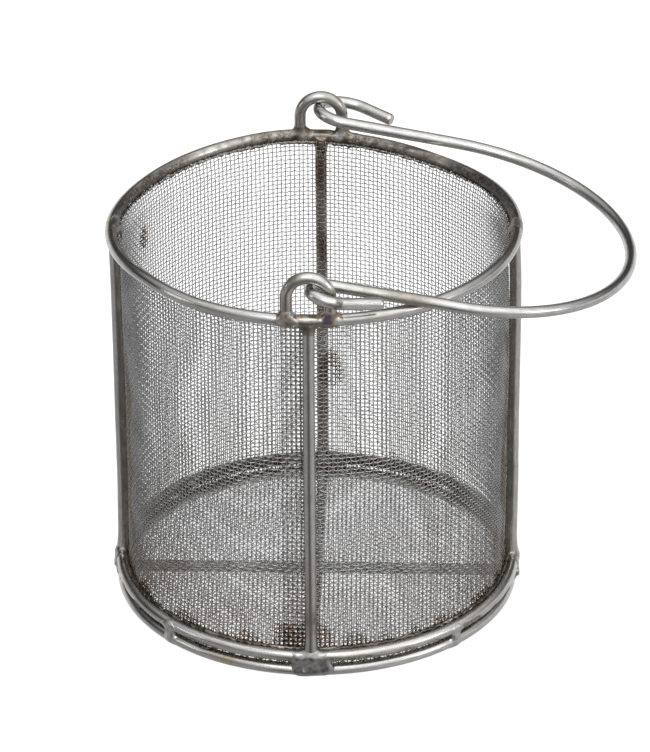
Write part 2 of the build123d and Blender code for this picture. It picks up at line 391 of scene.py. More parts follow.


# Steel, clean and dull; the colours of heat from a little to most, and of soot and painted shade, thin to
# thick.
CLEAN = (0.64, 0.63, 0.615)
DULL = (0.43, 0.42, 0.40)
SPECK = (0.42, 0.415, 0.405)  # metal that shows through soot
HEAT_STOPS = [
    (0.00, (0.58, 0.56, 0.535)),
    (0.14, (0.54, 0.50, 0.42)),
    (0.26, (0.46, 0.31, 0.15)),
    (0.38, (0.25, 0.12, 0.07)),
    (0.48, (0.13, 0.08, 0.13)),
    (0.56, (0.07, 0.10, 0.26)),
    (0.66, (0.17, 0.20, 0.25)),
    (0.80, (0.25, 0.24, 0.225)),
    (1.00, (0.30, 0.29, 0.27)),
]
SOOT_AND_SHADE_STOPS = [
    (0.0, (0.43, 0.39, 0.33)),
    (0.35, (0.285, 0.25, 0.205)),
    (0.7, (0.18, 0.158, 0.13)),
    (1.0, (0.09, 0.08, 0.068)),
]
RUST = (0.21, 0.11, 0.058)


def tinted(n, base, rust):
    """The colour with heat tint, soot and painted shade, and some rust over it, from the two vertex
    attributes.
    """
    place = n.place()
    mottle = n.maths("SUBTRACT", n.noise(place, 420.0, 4.0), 0.5)
    heat = n.scattered(n.attribute("scorch"), n.maths("MULTIPLY", mottle, 2.0), 0.3)
    base = n.mix(n.ramp(heat, [(0.08, 0.0), (0.28, 0.85)]), base, n.ramp(heat, HEAT_STOPS))
    soot_and_shade = n.scattered(n.attribute("soot_and_shade"), mottle, 0.6)
    rusty = n.ramp(n.noise(place, 230.0, 3.0), [(0.44, 0.0), (0.6, rust)])
    rusty = n.maths("MULTIPLY", rusty, n.ramp(soot_and_shade, [(0.4, 0.0), (0.75, 1.0)]))
    stain = n.mix(rusty, n.ramp(soot_and_shade, SOOT_AND_SHADE_STOPS), RUST)
    return n.mix(n.ramp(soot_and_shade, [(0.06, 0.0), (0.55, 1.0)]), base, stain), heat, soot_and_shade


def drawn_rod_material(name, clean=CLEAN, dull=DULL):
    """Drawn steel rod: fine streaks along its length, dull patches, heat tint by the welds."""
    n = Nodes(bpy.data.materials.new(name))
    along = n.attribute("along", "Vector")
    stretch = n.add("ShaderNodeVectorMath", {0: along, 1: (0.05, 1.7, 1.7)}, operation="MULTIPLY")
    streaks = n.noise(stretch.outputs[0], 5.0, 5.0, 0.65)
    place = n.place()
    patches = n.noise(place, 110.0, 3.0)
    grain = n.noise(place, 1500.0, 2.0)
    base = n.mix(n.ramp(streaks, [(0.35, 0.0), (0.62, 1.0)]), dull, clean)
    base = n.mix(n.ramp(patches, [(0.45, 0.0), (0.75, 0.6)]), base, dull)
    base, heat, soot_and_shade = tinted(n, base, 0.25)
    rough = n.ramp(streaks, [(0.3, 0.27), (0.7, 0.17)])
    marked = n.ramp(n.maths("MAXIMUM", heat, soot_and_shade), [(0.2, 0.0), (0.6, 1.0)])
    rough = n.mix(marked, rough, (0.48, 0.48, 0.48))
    specks = n.ramp(n.noise(place, 1000.0, 3.0), [(0.47, 0.0), (0.6, 0.75)])
    specks = n.maths("MULTIPLY", specks, n.ramp(soot_and_shade, [(0.3, 0.0), (0.6, 1.0)]))
    base = n.mix(specks, base, SPECK)
    relief = n.maths("ADD", n.maths("MULTIPLY", streaks, 0.7), n.maths("MULTIPLY", grain, 0.3))
    to_world = {"vector_type": "VECTOR", "convert_from": "OBJECT", "convert_to": "WORLD"}
    way = n.add("ShaderNodeVectorTransform", {0: n.attribute("drawn_way", "Vector")}, **to_world)
    brushed = {"Anisotropic": 0.75, "Anisotropic Rotation": 0.25, "Tangent": way.outputs[0]}
    return n.metal(base, rough, relief, 0.00006, **brushed)


def wire_material(name):
    """Bright woven wire, browned and darkened near the welds."""
    n = Nodes(bpy.data.materials.new(name))
    place = n.place()
    patches = n.noise(place, 60.0, 3.0)
    grain = n.noise(place, 900.0, 2.0)
    base = n.mix(n.ramp(patches, [(0.35, 0.0), (0.65, 1.0)]), (0.39, 0.39, 0.392), (0.54, 0.54, 0.543))
    base, _, _ = tinted(n, base, 0.8)
    rough = n.ramp(grain, [(0.3, 0.18), (0.7, 0.32)])
    return n.metal(base, rough, grain, 0.00001)


def weld_material(name, dark, light):
    """Weld metal: grey and grainy, with straw, brown and blue pools of colour."""
    n = Nodes(bpy.data.materials.new(name))
    place = n.place()
    grain = n.noise(place, 700.0, 4.0)
    pools = n.noise(place, 230.0, 3.0)
    skin_colour = n.mix(n.ramp(grain, [(0.35, 0.0), (0.65, 1.0)]), dark, light)
    drift = n.maths("MULTIPLY", n.maths("SUBTRACT", pools, 0.5), 1.3)
    heat = n.scattered(n.attribute("scorch"), drift, 0.5)
    tinge = n.ramp(heat, [(0.2, 0.0), (0.34, 0.7), (0.6, 0.9)])
    base = n.mix(tinge, skin_colour, n.ramp(heat, HEAT_STOPS))
    soot_and_shade = n.scattered(n.attribute("soot_and_shade"), drift, 0.5)
    base = n.mix(n.ramp(soot_and_shade, [(0.06, 0.0), (0.5, 1.0)]), base, n.ramp(soot_and_shade, SOOT_AND_SHADE_STOPS))
    rough = n.ramp(grain, [(0.3, 0.26), (0.75, 0.42)])
    return n.metal(base, rough, n.maths("ADD", grain, pools), 0.00007)


rod_steel = drawn_rod_material("drawn_rod_steel")
bail_steel = drawn_rod_material("bail_rod_steel", clean=(0.66, 0.65, 0.635), dull=(0.42, 0.41, 0.39))
wire_steel = wire_material("woven_wire_steel")
weld_steel = weld_material("weld_steel", (0.27, 0.266, 0.256), (0.42, 0.415, 0.40))
bright_weld = weld_material("bright_weld_steel", (0.40, 0.395, 0.385), (0.58, 0.575, 0.56))


# ---- wire cloth ----
def cloth_radius(angle, height):
    """Middle of the cloth: straight between the rings, spread out to each ring, slightly dented."""
    rise = np.minimum(height - LOWER_Z, TOP_Z - height)
    spread = 1 - np.clip(rise / CLOTH_BELL, 0, 1)
    dents = 0.22 * lumps(polar(CLOTH_RADIUS, angle, height), 28.0, 11) + 0.7 * bump(angle, 0, 35)
    dents = dents * smooth_step(4, 25, rise)
    return CLOTH_RADIUS + dents + (CLOTH_EDGE_RADIUS - CLOTH_RADIUS) * spread


def cloth_point(angle, height, offset):
    """A point of the wall cloth, offset outwards, following the top ring where it sags."""
    share = (np.clip(height, 0, None) / CLOTH_TOP) ** 4
    radius = cloth_radius(angle, height) + rim_swell(angle) * smooth_step(60, 150, height) + offset
    return polar(radius, angle, height + rim_sag(angle) * share)


def crusted(paths):
    """Radius of the wire along its paths: thicker where soot and scale sit on it."""
    soot_and_shade = cloth_soot_and_shade(paths.reshape(-1, 3)).reshape(paths.shape[:-1])
    return (WIRE * (1 + CRUST * smooth_step(0.35, 0.95, soot_and_shade)))[..., None]


def wall_wires(first, last, inset=0.0):
    """Upright wires first to last-1 and the stretches of hoop wire between them."""
    step = TURN / UPRIGHT_WIRES
    hoops = int((CLOTH_TOP - CLOTH_BOTTOM) / PITCH)
    lowest = CLOTH_BOTTOM + FIRST_HOOP
    rng = np.random.default_rng(7)
    wire_shift = rng.normal(0, UPRIGHT_DRIFT, UPRIGHT_WIRES + 1)
    hoop_shift = rng.normal(0, HOOP_DRIFT, hoops)

    wires = np.arange(first, last)
    half = np.arange(2 * hoops)
    heights = lowest + PITCH * (half / 2 - 0.25)
    side = np.where((wires[:, None] + half // 2) % 2 == 0, 1.0, -1.0)
    angles = (wires + wire_shift[wires % UPRIGHT_WIRES])[:, None] * step
    paths = cloth_point(angles + 0 * heights, heights + 0 * angles, side * UPRIGHT_CRIMP - inset)
    outward = polar(1.0, angles + 0 * heights, 0.0)
    uprights = tubes(paths, crusted(paths), WIRE_SIDES, outward)

    half = np.arange(2 * (last - first))
    angles = (first + half / 2 - 0.25) * step
    crossing = first + half // 2
    side = np.where((np.arange(hoops)[:, None] + crossing) % 2 == 0, -1.0, 1.0)
    angles = np.append(angles, (last - 0.25) * step)
    side = np.concatenate([side, -side[:, -1:]], axis=1)
    heights = (lowest + PITCH * np.arange(hoops) + hoop_shift)[:, None] + 0.1 * wander(angles, 3)
    paths = cloth_point(angles + 0 * heights, heights, side * HOOP_CRIMP - inset)
    outward = polar(1.0, angles + 0 * heights, 0.0)
    return uprights, tubes(paths, crusted(paths), WIRE_SIDES, outward)


def make_cloth(name, shape, node, extra=0.0):
    """A piece of wire cloth darkened by soot and painted shade: the bottom is darker where the two rings
    hold it.
    """
    points = shape[0]
    if node == "mesh_wall":
        soot_and_shade = cloth_soot_and_shade(points) + extra
    else:
        reach = np.hypot(points[:, 0], points[:, 1]) + 1.5 * lumps(points, 7.0, 13)
        soot_and_shade = 0.17 + 0.12 * lumps(points, 16.0, 19) + 0.55 * smooth_step(69.0, 74.0, reach)
    make_piece(name, shape, "basket", wire_steel, [node], soot_and_shade)


def make_wall():
    """The wall in four quarters between the ribs, uprights and hoops apart, and the overlap."""
    quarter = UPRIGHT_WIRES // 4
    for number, name in enumerate(("right_back", "back_left", "left_front", "front_right")):
        uprights, hoops = wall_wires(number * quarter, (number + 1) * quarter)
        make_cloth(f"wall_uprights_{name}", uprights, "mesh_wall")
        make_cloth(f"wall_hoops_{name}", hoops, "mesh_wall")
    first, last = (round(a / TURN * UPRIGHT_WIRES) for a in (LAP_FROM, LAP_TO))
    make_cloth("wall_overlap_wires", joined(wall_wires(first, last, LAP_INSET)), "mesh_wall", 0.2)


def make_bottom():
    """The bottom cloth, cut to a disc whose edge is held between the two lower rings."""
    edge = FOOT_RADIUS + BOTTOM_OVERHANG
    count = int(edge / PITCH) * 2 + 1
    places = (np.arange(count) - count // 2) * PITCH
    half = np.arange(2 * count)
    run = (half / 2 - 0.25 - count // 2) * PITCH
    crossing = half // 2
    for name, phase, swap in (("across", 0, False), ("along", 1, True)):
        side = np.where((np.arange(count)[:, None] + crossing) % 2 == phase, 1.0, -1.0)
        flat = np.stack(np.broadcast_arrays(run, places[:, None], DISC_Z + side * BOTTOM_WIRE), axis=-1)
        if swap:
            flat = flat[..., [1, 0, 2]]
        flat[..., 2] += 0.12 * lumps(flat * (1, 1, 0), 30.0, 17)
        parts = []
        for wire in flat:
            inside = np.hypot(wire[:, 0], wire[:, 1]) < edge + 0.5 * lumps(wire, 3.0, 23)
            inside = np.flatnonzero(inside)
            if len(inside) and inside[-1] - inside[0] > 1:
                kept = wire[inside[0] : inside[-1] + 1]
                parts.append(tubes(kept[None], BOTTOM_WIRE, WIRE_SIDES, (0, 0, 1)))
        make_cloth(f"bottom_wires_{name}", joined(parts), "mesh_bottom")


# ---- rods ----
ROD_SIDES = 24


def rod(path, reference, seed, closed=False, radius=ROD):
    """A rod along one path, a little uneven as drawn and handled rod is."""
    turn = np.arange(ROD_SIDES) * TURN / ROD_SIDES
    run = np.linalg.norm(np.diff(path, axis=0, prepend=path[:1]), axis=1).cumsum()
    whole = TURN * run / (run[-1] + np.linalg.norm(path[0] - path[-1]))
    uneven = 0.03 * wander(whole, seed, (5, 9, 14, 22, 31))[:, None]
    uneven = uneven + 0.03 * np.sin(2 * turn + 3 * whole[:, None] + seed)
    points, faces, along = tubes(path[None], np.asarray(radius) + uneven, ROD_SIDES, reference, closed)
    ahead, behind = (np.roll(path, step, axis=0) for step in (-1, 1))
    way = ahead - behind if closed else np.gradient(path, axis=0)
    way = np.repeat(way / np.linalg.norm(way, axis=1, keepdims=True), ROD_SIDES, axis=0)
    return points, faces, np.concatenate([along, way], axis=1)


def rod_normals(shape, path):
    """Direction away from the centre line at each point of a rod."""
    outward = shape[0].reshape(len(path), ROD_SIDES, 3) - path[:, None]
    return (outward / np.linalg.norm(outward, axis=-1, keepdims=True)).reshape(-1, 3)


def top_ring_soot_and_shade(points, normals, angle, inner_side):
    """More darkening on the top ring: a soot crust at the back, a patch in the front eye, and painted dark
    reflection on the inner sides at the left and right.
    """
    crusty = bump(np.repeat(angle, ROD_SIDES), 84, 38) * (0.72 + 0.35 * lumps(points, 2.4, 44))
    soot_and_shade = np.maximum(crusty, 0.06 + 0.08 * lumps(points, 12.0, 45))
    from_middle = np.abs(points[:, 0]) + 0.6 * lumps(points, 3.0, 46)
    soot_and_shade = np.maximum(soot_and_shade, 0.75 * smooth_step(9.0, 6.0, from_middle) * (points[:, 1] < 0))
    # Painted dark reflection on the inner side where the ring runs from front to back, at the left and
    # right.
    at_side = np.repeat(smooth_step(0.5, 0.8, np.abs(np.cos(angle))), ROD_SIDES)
    inner = shade_and_soot_on_side(points, normals, np.repeat(inner_side, ROD_SIDES, axis=0), 0.4, 0.8, 0.15)
    return np.maximum(soot_and_shade, 0.75 * inner * at_side)


def make_rings():
    """The three rings, darkened on the side that faces the cloth: brown soot, with painted shade where
    they face the gap between the two lower rings.
    """
    angle = np.linspace(0, TURN, 480, endpoint=False)
    inward = -polar(1.0, angle, 0.0)
    up = np.array([0.0, 0.0, 1.0])
    # Name, radius, height, the side that is darkened with soot and painted shade, and how squarely a
    # surface has to face it.
    rings = (
        ("top_ring", RIM_RADIUS + rim_swell(angle), TOP_Z + rim_sag(angle),
         0.75 * inward - 0.66 * up, 0.3, 1.5),
        ("lower_ring", LOWER_RADIUS - 0.45 * bump(angle, 200, 30), LOWER_Z + 0.12 * wander(angle, 42),
         0.94 * inward + 0.34 * up, 0.5, 0.9),
        ("foot_ring", FOOT_RADIUS, FOOT_Z + 0 * angle, up + 0.3 * inward, 0.8, 1.15),
    )
    for number, (name, radius, height, side, low, high) in enumerate(rings):
        wobble = 0.1 * wander(angle, 41 + number) + 0.05 * wander(angle, 51 + number, (19, 27, 38))
        path = polar(radius + wobble, angle, np.maximum(height, ROD + 0.06))
        shape = rod(path, (0, 0, 1), number + 1, closed=True)
        points, normals = shape[0], rod_normals(shape, path)
        soot_and_shade = shade_and_soot_on_side(points, normals, np.repeat(side, ROD_SIDES, axis=0), low, high)
        if name == "lower_ring":
            # Painted shade on the underside of the lower ring, which faces the narrow gap over the foot
            # ring.
            gap_side = np.repeat(-0.4 * inward - 0.9 * up, ROD_SIDES, axis=0)
            soot_and_shade = np.maximum(soot_and_shade, 0.6 * shade_and_soot_on_side(points, normals, gap_side, 0.3, 0.8))
        if name == "top_ring":
            soot_and_shade = np.maximum(soot_and_shade, top_ring_soot_and_shade(points, normals, angle, 0.92 * inward + 0.38 * up))
        make_piece(f"{name}_rod", shape, "basket", rod_steel, [name], soot_and_shade)


# How far each rib bows outwards, and how dark its inner side is painted: painted shade from the cloth, in
# brown soot colours.
RIB_LEAN = {"front": 0.0, "right": 0.5, "back": 0.0, "left": -0.2}
RIB_SHADE_AND_SOOT = {"front": 0.5, "right": 0.45, "back": 0.34, "left": 0.45}


def make_ribs():
    """The four ribs; the side against the cloth is dark, and so is the lower half of the front one."""
    for number, (name, angle) in enumerate(RIB_ANGLES.items()):
        heights = np.linspace(RIB_BOTTOM - 0.6, RIB_TOP + 0.6, 110)
        flare = 0.55 * np.exp(-(((heights - RIB_BOTTOM) / 5.0) ** 2))
        radius = (ROD + flare)[:, None]
        outward = polar(1.0, angle, 0.0)
        lean = rim_swell(angle) * smooth_step(80, 150, heights)
        lean = lean + 0.12 * np.sin(heights / 17.0 + number)
        lean = lean + RIB_LEAN[name] * smooth_step(15, 50, heights) * smooth_step(152, 130, heights)
        rise = heights + rim_sag(angle) * smooth_step(60, 150, heights)
        path = polar(RIB_RADIUS + lean, angle + 0.0012 * np.sin(heights / 23.0 + number), rise)
        shape = rod(path, outward, 50 + number, radius=radius)
        # Painted shade on the side against the cloth, which shades it, in brown soot colours.
        soot_and_shade = shade_and_soot_on_side(shape[0], rod_normals(shape, path), -outward, -0.25, 0.4, 0.2)
        soot_and_shade = RIB_SHADE_AND_SOOT[name] * soot_and_shade
        if name == "front":
            low_down = smooth_step(80.0, 25.0, shape[0][:, 2])
            soot_and_shade = np.maximum(soot_and_shade, (0.3 + 0.1 * lumps(shape[0], 7.0, 47)) * low_down)
        make_piece(f"rib_{name}_rod", shape, "basket", rod_steel, [f"rib_{name}"], soot_and_shade)


EYE_LIFT = {"front": 0.6, "back": -0.1}  # how much higher each eye is than the drawn one


def make_eyes():
    """The two inverted U rods on the top ring."""
    for number, (name, y) in enumerate((("front", -RIM_RADIUS), ("back", RIM_RADIUS))):
        foot = TOP_Z + 0.6 + float(rim_sag(RIB_ANGLES[name]))
        arch_z = EYE_ARCH_Z + EYE_LIFT[name]
        leg = np.linspace(foot, arch_z, 12, endpoint=False)
        arch = np.linspace(pi, 0, 48)
        x = np.concatenate([np.full(12, -EYE_REACH), EYE_REACH * np.cos(arch), np.full(12, EYE_REACH)])
        z = np.concatenate([leg, arch_z + EYE_REACH * np.sin(arch), leg[::-1]])
        path = np.stack([x, np.full(len(x), y), z], axis=-1)
        shape = rod(path, (0, 1, 0), 60 + number)
        soot_and_shade = 0.24 + 0.18 * lumps(shape[0], 6.0, 64 + number)
        make_piece(f"eye_{name}_rod", shape, "basket", rod_steel, [f"eye_{name}"], soot_and_shade)


def hook_path(centre_u, centre_v, length, width, slope, free, lift):
    """Free end, hook and arm of one side of the bail, in (u, |v|, height over the bail's plane)."""
    extra = np.arctan(np.tan(slope) * length / width)
    turn = np.linspace(pi + extra, 0, 60)
    hook = np.stack([centre_u - length * np.sin(turn), centre_v - width * np.cos(turn)], axis=-1)
    leaving = hook[0] - hook[1]
    leaving /= np.linalg.norm(leaving)
    end = hook[0] + leaving * np.linspace(free, 0, 16, endpoint=False)[:, None]
    arm_u = np.linspace(centre_u, BAIL_BOW_U, 40)[1:-1]
    start_v = centre_v - width
    arm_v = start_v + (BAIL_HALF_WIDTH - start_v) * smooth_step(centre_u, BAIL_BOW_U, arm_u)
    bow = np.linspace(pi / 2, 0, 80)
    half_bow = BAIL_HALF_WIDTH * np.stack([np.cos(bow), np.sin(bow)], axis=-1) + (BAIL_BOW_U, 0)
    flat = np.concatenate([end, hook, np.stack([arm_u, arm_v], axis=-1), half_bow])
    height = lift * smooth_step(BAIL_BOW_U + 30, centre_u, flat[:, 0])
    return np.column_stack([flat, height])


def bail_path():
    """Centre line of the bail, from the free end at the front round to the one at the back."""
    front = hook_path(*HOOKS["front"]) * (1, -1, 1)
    back = hook_path(*HOOKS["back"])
    return np.concatenate([front, back[-2::-1]])


DULL_ARM_X, DULL_ARM_REACH = 32.0, 14.0  # a dull stretch of the bail's front arm


def make_bail():
    """The bail, cut square at both ends; painted shadow at the kink of the front hook, under the eye."""
    flat = bail_path()
    u_axis = np.array([cos(BAIL_TILT), 0, -sin(BAIL_TILT)])
    normal = np.array([sin(BAIL_TILT), 0, cos(BAIL_TILT)])
    path = np.array([0, 0, PIVOT_Z]) + flat[:, :1] * u_axis + flat[:, 2:] * normal
    path[:, 1] += flat[:, 1]
    ends = np.minimum(np.arange(len(path)), np.arange(len(path))[::-1])
    rounded = (ROD - 0.35 * (ends == 0))[:, None]
    shape = rod(path, normal, 70, radius=rounded)
    kink = path[np.argmin(np.abs(flat[: len(flat) // 4, 0] - HOOKS["front"][0] - 1.5))]
    points = shape[0]
    # Painted shadow at the front hook's kink, where it passes under the eye's leg.
    soot_and_shade = 0.8 * smooth_step(4.0, 1.0, np.linalg.norm(points - kink, axis=1) + lumps(points, 2.0, 75))
    on_arm = (points[:, 1] < 0) & (points[:, 1] > -72)
    dull_arm = np.exp(-(((points[:, 0] - DULL_ARM_X) / DULL_ARM_REACH) ** 2)) * on_arm
    soot_and_shade = np.maximum(soot_and_shade, (0.42 + 0.12 * lumps(points, 6.0, 76)) * dull_arm)
    make_piece("bail_rod", shape, "bail", bail_steel, ["bail_handle"], soot_and_shade, heat=0.0)


# ---- welds ----
def skin(field, low, cell):
    """Closed quad mesh over the zero surface of a scalar grid, one vertex in each crossed cell."""
    shape = np.array(field.shape) - 1
    total, count = np.zeros((*shape, 3)), np.zeros(shape)
    inside = field < 0
    for axis in range(3):
        others = [a for a in range(3) if a != axis]
        for i in (0, 1):
            for j in (0, 1):
                start = [0, 0, 0]
                start[others[0]], start[others[1]] = i, j
                near = tuple(slice(s, s + n) for s, n in zip(start, shape))
                start[axis] = 1
                far = tuple(slice(s, s + n) for s, n in zip(start, shape))
                start[axis] = 0
                crossed = inside[near] != inside[far]
                share = field[near] / np.where(crossed, field[near] - field[far], 1)
                place = np.zeros((*shape, 3)) + start
                place[..., axis] = share
                total += np.where(crossed[..., None], place, 0)
                count += crossed
    used = count > 0
    number = np.full(tuple(shape), -1)
    number[used] = np.arange(used.sum())
    corner = np.stack(np.nonzero(used), axis=-1)
    points = low + cell * (corner + total[used] / count[used][:, None])
    quads = []
    for axis in range(3):
        b, c = (axis + 1) % 3, (axis + 2) % 3
        near = [slice(1, n) for n in shape]
        near[axis] = slice(0, shape[axis])
        far = list(near)
        far[axis] = slice(1, shape[axis] + 1)
        crossed = inside[tuple(near)] != inside[tuple(far)]
        at = np.stack(np.nonzero(crossed), axis=-1)
        at[:, b] += 1
        at[:, c] += 1
        step_b, step_c = np.eye(3, dtype=int)[b], np.eye(3, dtype=int)[c]
        around = [at - step_b - step_c, at - step_c, at, at - step_b]
        faces = np.stack([number[tuple(a.T)] for a in around], axis=-1)
        flip = inside[tuple(far)][crossed]
        faces[flip] = faces[flip][:, ::-1]
        quads.append(faces)
    return points, [np.concatenate(quads), np.empty((0, 3), int)], points


def blend(a, b, width):
    """Smooth union of two distance fields."""
    h = np.clip(0.5 + 0.5 * (b - a) / width, 0, 1)
    return b + (a - b) * h - width * h * (1 - h)


def to_ring(points, radius, height):
    """Distance to the centre line of a level ring."""
    return np.hypot(np.hypot(points[..., 0], points[..., 1]) - radius, points[..., 2] - height)


def to_lower_rings(points):
    """Distance to the nearer of the two lower rings' centre lines."""
    return np.minimum(to_ring(points, LOWER_RADIUS, LOWER_Z), to_ring(points, FOOT_RADIUS, FOOT_Z))


def to_blob(points, centre, size):
    """Roughly the distance to an ellipsoid."""
    scaled = (points - centre) / size
    return (np.linalg.norm(scaled, axis=-1) - 1) * min(size)


def weld(centre, half, distance, cell=0.4):
    """The skin of a distance field in a box about centre; points are in the weld's own frame."""
    low = np.array(centre) - half
    counts = np.ceil(2 * np.array(half) / cell).astype(int) + 1
    marks = [low[axis] + cell * np.arange(counts[axis]) for axis in range(3)]
    grid = np.stack(np.meshgrid(*marks, indexing="ij"), -1)
    bound = (np.linalg.norm((grid - centre) / (np.array(half) - cell), axis=-1) - 1) * min(half)
    bound = np.maximum(bound, 0.05 - grid[..., 2])  # nothing hangs below the floor
    return skin(np.maximum(distance(grid), bound), low, cell)


def turned(shape, angle):
    """A shape turned about the basket's axis."""
    points, faces, _ = shape
    spun = points @ np.array([[cos(angle), sin(angle), 0], [-sin(angle), cos(angle), 0], [0, 0, 1]])
    return spun, faces, spun


def rib_foot(seed, crack_depth):
    """Flat lump over the foot of a rib and both lower rings, with a crack of some depth, at angle 0."""

    def distance(p):
        across = np.abs(p[..., 1])
        sink = 0.15 - 0.5 * smooth_step(5.5, 9.0, across + 0.8 * lumps(p, 3.0, seed + 2))
        rings = to_lower_rings(p) - ROD - sink
        rib_axis = np.hypot(p[..., 0] - RIB_RADIUS, p[..., 1])
        rib = np.maximum(rib_axis - ROD - 0.6 + 1.0 * smooth_step(9, 15, p[..., 2]), 8 - p[..., 2])
        rough = 0.5 * lumps(p, 4.5, seed) + 0.12 * lumps(p, 1.7, seed + 1)
        lump = to_blob(p, (76.6, 0.3, 5.2), (3.4, 8.2, 4.6)) + rough
        lump = np.maximum(lump, p[..., 0] - 78.75 + 0.8 * rough)
        from_crack = p[..., 1] + 1.6 - 0.35 * (p[..., 2] - 5) - 0.5 * np.sin(1.3 * p[..., 2] + seed)
        crack = crack_depth * np.exp(-((from_crack / 0.5) ** 2))
        crack = crack * smooth_step(9.0, 7.0, p[..., 2]) * smooth_step(1.5, 4.0, p[..., 2])
        return blend(blend(lump, rings, 1.3), rib, 1.8) + crack

    return weld((77.0, 0.0, 8.5), (5.5, 12.0, 9.5), distance, cell=0.33)


def ring_bridge(seed):
    """Small lump that ties the lower ring to the foot ring, at angle 0."""

    def distance(p):
        sink = 0.1 - 0.4 * smooth_step(2.0, 5.0, np.abs(p[..., 1]))
        rings = to_lower_rings(p) - ROD - sink
        lump = to_blob(p, (77.6, 0.0, 5.2), (1.6, 1.9, 3.2))
        return blend(lump + 0.15 * lumps(p, 2.4, seed), rings, 1.6)

    return weld((77.0, 0.0, 4.9), (4.5, 7.0, 6.4), distance, cell=0.35)


def rib_head(seed, lift):
    """Bead under the top ring at the head of a rib, at angle 0."""

    def distance(p):
        sink = 0.15 - 0.45 * smooth_step(2.5, 6.5, np.abs(p[..., 1]))
        ring = to_ring(p, RIM_RADIUS, TOP_Z + lift) - ROD - sink
        rib_axis = np.hypot(p[..., 0] - RIB_RADIUS, p[..., 1])
        rib = rib_axis - ROD + 0.3 - 0.55 * smooth_step(144, 150, p[..., 2])
        rib = np.maximum(rib, p[..., 2] - TOP_Z)
        lump = to_blob(p, (76.6, 0.0, TOP_Z + lift - 2.2), (2.2, 3.6, 1.8))
        return blend(blend(lump + 0.2 * lumps(p, 1.8, seed), ring, 1.0), rib, 1.0)

    return weld((76.8, 0.0, TOP_Z - 3.0), (4.6, 8.0, 7.5), distance)


def eye_foot(x, y, seed, lift):
    """Collar where a leg of an eye stands on the top ring."""

    def distance(p):
        sink = 0.3 - 0.6 * smooth_step(2.0, 5.6, np.abs(p[..., 0] - x) + 0.5 * lumps(p, 3.0, seed + 7))
        ring = to_ring(p, RIM_RADIUS, TOP_Z + lift) - ROD - sink
        leg = np.hypot(p[..., 0] - x, p[..., 1] - y) - ROD + 0.35 - 0.55 * smooth_step(160, 157, p[..., 2])
        leg = np.maximum(leg, TOP_Z - p[..., 2])
        return blend(leg, ring + 0.15 * lumps(p, 2.2, seed), 1.8)

    return weld((x, y, TOP_Z + 2.5), (7.0, 4.6, 6.5), distance, cell=0.35)


def crust(points):
    """Soot on the welds of the rim: heavier at the back and on the undersides."""
    value = 0.2 + 0.45 * smooth_step(-20, 60, points[:, 1]) + 0.35 * lumps(points, 3.5, 180)
    return np.clip(value + 0.25 * smooth_step(TOP_Z, TOP_Z - 3, points[:, 2]), 0, 1)


FRONT_CRACK = 0.45  # how deep the crack in the front lump is


def make_welds():
    """The lumps at the rib feet, the bridges, the beads at the rib heads and the eyes' collars."""

    def put(name, shapes, material, node, sooty):
        shape = joined(shapes)
        make_piece(name, shape, "basket", material, [node], crust(shape[0]) if sooty else 0.0)

    angles = list(enumerate(RIB_ANGLES.values()))
    feet = [turned(rib_foot(100 + i, FRONT_CRACK * (i == 0)), a) for i, a in angles]
    put("weld_lumps_rib_feet", feet, weld_steel, "rib_foot_welds", False)
    bridges = [turned(ring_bridge(120 + i), a + pi / 4) for i, a in angles]
    put("weld_bridges", bridges, bright_weld, "ring_bridge_welds", False)
    heads = [turned(rib_head(140 + i, float(rim_sag(a))), a) for i, a in angles]
    put("weld_beads_rib_heads", heads, weld_steel, "rib_top_welds", True)
    legs = [(x, y) for y in (-RIM_RADIUS, RIM_RADIUS) for x in (-EYE_REACH, EYE_REACH)]
    collars = [eye_foot(x, y, 160 + i, float(rim_sag(np.arctan2(y, x)))) for i, (x, y) in enumerate(legs)]
    put("weld_collars_eyes", collars, bright_weld, "eye_welds", True)


BEAD_RADIUS = 74.85  # of the circle that the beads of the cloth follow
BEAD_DROP = 2.1  # how far they are below the top ring and above the lower one
BEAD_SIDES = 10


def make_mesh_beads():
    """The thin ragged bead that joins the cloth to each ring, all the way round."""
    angle = np.linspace(0, TURN, 900, endpoint=False)
    turn = np.arange(BEAD_SIDES) * TURN / BEAD_SIDES
    top_swell = rim_swell(angle) + 0.25 * bump(angle, 32, 16)
    for name, node, height, swell, seed in (
        ("weld_bead_top_cloth", "top_mesh_weld", TOP_Z - BEAD_DROP + rim_sag(angle), top_swell, 81),
        ("weld_bead_lower_cloth", "lower_mesh_weld", LOWER_Z + BEAD_DROP, 0 * angle, 82),
    ):
        path = polar(BEAD_RADIUS + 0.1 * wander(angle, seed) + swell, angle, height)
        section = polar(1.0, turn, 0.0)[None] * 0.8 + path[:, None]
        radius = 0.7 + 0.22 * lumps(section, 1.5, seed) + 0.12 * lumps(section, 0.7, seed + 1)
        shape = tubes(path[None], radius, BEAD_SIDES, (0, 0, 1), closed=True)
        soot_and_shade = 0.85 + 0.3 * lumps(shape[0], 6.0, seed + 2)
        make_piece(name, shape, "basket", weld_steel, [node], soot_and_shade)


